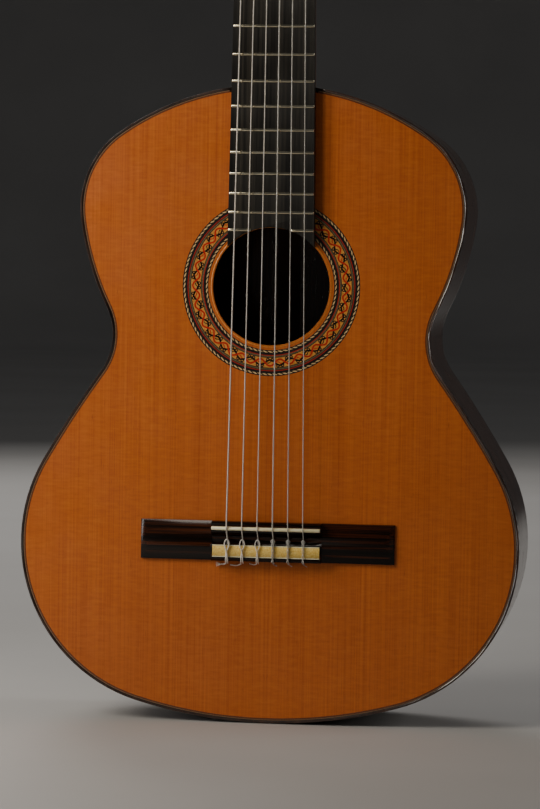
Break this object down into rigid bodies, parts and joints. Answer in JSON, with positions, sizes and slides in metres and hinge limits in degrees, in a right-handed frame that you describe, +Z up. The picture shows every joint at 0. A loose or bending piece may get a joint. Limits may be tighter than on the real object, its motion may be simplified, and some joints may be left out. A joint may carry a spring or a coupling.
{
  "type": "classical guitar",
  "caption": "Nylon-string classical guitar: hollow waisted body with soundhole and tie bridge, fretted neck and slotted head with turning string machines.",
  "frame": {"origin": "on the flat outer face of the end graft at the tail, halfway through the body's depth there", "axes": "+Z up the neck from the tail to the head, -Y out of the soundboard, +X to the treble side"},
  "size_m": [0.3686, 0.1131, 0.9818],
  "materials": {
    "cedar_top": "satin, fine straight grain",
    "rosewood": "gloss, dark streaked grain",
    "binding_rosewood": "gloss",
    "purfling_lines": "satin, fine dark lines",
    "rosette_mosaic": "satin mosaic inlay",
    "neck_cedro": "satin",
    "ebony": "satin, near black",
    "bridge_rosewood": "satin",
    "brace_spruce": "bare sanded",
    "lining_cedro": "bare sanded",
    "maple_graft": "gloss",
    "bone": "polished",
    "inlay_gold": "mottled pearl",
    "fret_nickel": "polished",
    "string_nylon": "clear gloss",
    "string_wound": "fine winding",
    "tuner_brass": "polished",
    "screw_brass": "polished",
    "gear_steel": "machined",
    "roller_white": "smooth",
    "button_pearl": "mottled pearl"
  },
  "bodies": {
    "guitar": {"soundboard_bass_half": "cedar_top", "soundboard_treble_half": "cedar_top", "rosette": "rosette_mosaic", "top_purfling": "purfling_lines", "bindings": "binding_rosewood", "back_bass_half": "rosewood", "back_treble_half": "rosewood", "back_centre_strip": "maple_graft", "side_bass": "rosewood", "side_treble": "rosewood", "end_graft": "maple_graft", "tail_block": "lining_cedro", "linings": "lining_cedro", "fan_braces": "brace_spruce", "harmonic_bars": "brace_spruce", "back_braces": "brace_spruce", "back_seam_strip": "brace_spruce", "neck": "neck_cedro", "heel_cap": "rosewood", "fretboard": "ebony", "frets": "fret_nickel", "nut": "bone", "bridge": "bridge_rosewood", "tie_block_inlay": "inlay_gold", "saddle": "bone", "headstock": "neck_cedro", "head_veneer": "rosewood", "tuner_screws": "screw_brass", "tuner_plate_bass": "tuner_brass", "tuner_plate_treble": "tuner_brass", "string_1": "string_nylon", "string_2": "string_nylon", "string_3": "string_nylon", "string_4": "string_wound", "string_5": "string_wound", "string_6": "string_wound"},
    "string_1_button": {"worm_1": "gear_steel", "button_1": "button_pearl"},
    "string_1_roller": {"roller_1": "roller_white", "gear_1": "gear_steel"},
    "string_2_button": {"worm_2": "gear_steel", "button_2": "button_pearl"},
    "string_2_roller": {"roller_2": "roller_white", "gear_2": "gear_steel"},
    "string_3_button": {"worm_3": "gear_steel", "button_3": "button_pearl"},
    "string_3_roller": {"roller_3": "roller_white", "gear_3": "gear_steel"},
    "string_4_button": {"worm_4": "gear_steel", "button_4": "button_pearl"},
    "string_4_roller": {"roller_4": "roller_white", "gear_4": "gear_steel"},
    "string_5_button": {"worm_5": "gear_steel", "button_5": "button_pearl"},
    "string_5_roller": {"roller_5": "roller_white", "gear_5": "gear_steel"},
    "string_6_button": {"worm_6": "gear_steel", "button_6": "button_pearl"},
    "string_6_roller": {"roller_6": "roller_white", "gear_6": "gear_steel"}
  },
  "joints": [
    {"name": "button_1_turn", "type": "hinge", "parent": "guitar", "child": "string_1_button", "pos_m": [0.0412, -0.03146, 0.8275], "axis": [0, 0.9703, -0.2419], "continuous": true},
    {"name": "roller_1_turn", "type": "hinge", "parent": "guitar", "child": "string_1_roller", "pos_m": [0, -0.02897, 0.83749], "axis": [1, 0, 0], "continuous": true},
    {"name": "button_2_turn", "type": "hinge", "parent": "guitar", "child": "string_2_button", "pos_m": [0.0412, -0.02299, 0.86146], "axis": [0, 0.9703, -0.2419], "continuous": true},
    {"name": "roller_2_turn", "type": "hinge", "parent": "guitar", "child": "string_2_roller", "pos_m": [0, -0.0205, 0.87145], "axis": [1, 0, 0], "continuous": true},
    {"name": "button_3_turn", "type": "hinge", "parent": "guitar", "child": "string_3_button", "pos_m": [0.0412, -0.01452, 0.89542], "axis": [0, 0.9703, -0.2419], "continuous": true},
    {"name": "roller_3_turn", "type": "hinge", "parent": "guitar", "child": "string_3_roller", "pos_m": [0, -0.01203, 0.90541], "axis": [1, 0, 0], "continuous": true},
    {"name": "button_4_turn", "type": "hinge", "parent": "guitar", "child": "string_4_button", "pos_m": [-0.0412, -0.01452, 0.89542], "axis": [0, 0.9703, -0.2419], "continuous": true},
    {"name": "roller_4_turn", "type": "hinge", "parent": "guitar", "child": "string_4_roller", "pos_m": [0, -0.01203, 0.90541], "axis": [1, 0, 0], "continuous": true},
    {"name": "button_5_turn", "type": "hinge", "parent": "guitar", "child": "string_5_button", "pos_m": [-0.0412, -0.02299, 0.86146], "axis": [0, 0.9703, -0.2419], "continuous": true},
    {"name": "roller_5_turn", "type": "hinge", "parent": "guitar", "child": "string_5_roller", "pos_m": [0, -0.0205, 0.87145], "axis": [1, 0, 0], "continuous": true},
    {"name": "button_6_turn", "type": "hinge", "parent": "guitar", "child": "string_6_button", "pos_m": [-0.0412, -0.03146, 0.8275], "axis": [0, 0.9703, -0.2419], "continuous": true},
    {"name": "roller_6_turn", "type": "hinge", "parent": "guitar", "child": "string_6_roller", "pos_m": [0, -0.02897, 0.83749], "axis": [1, 0, 0], "continuous": true}
  ],
  "couplings": [
    {"joint": "roller_1_turn", "follows": "button_1_turn", "ratio": 0.071429},
    {"joint": "roller_2_turn", "follows": "button_2_turn", "ratio": 0.071429},
    {"joint": "roller_3_turn", "follows": "button_3_turn", "ratio": 0.071429},
    {"joint": "roller_4_turn", "follows": "button_4_turn", "ratio": -0.071429},
    {"joint": "roller_5_turn", "follows": "button_5_turn", "ratio": -0.071429},
    {"joint": "roller_6_turn", "follows": "button_6_turn", "ratio": -0.071429}
  ]
}
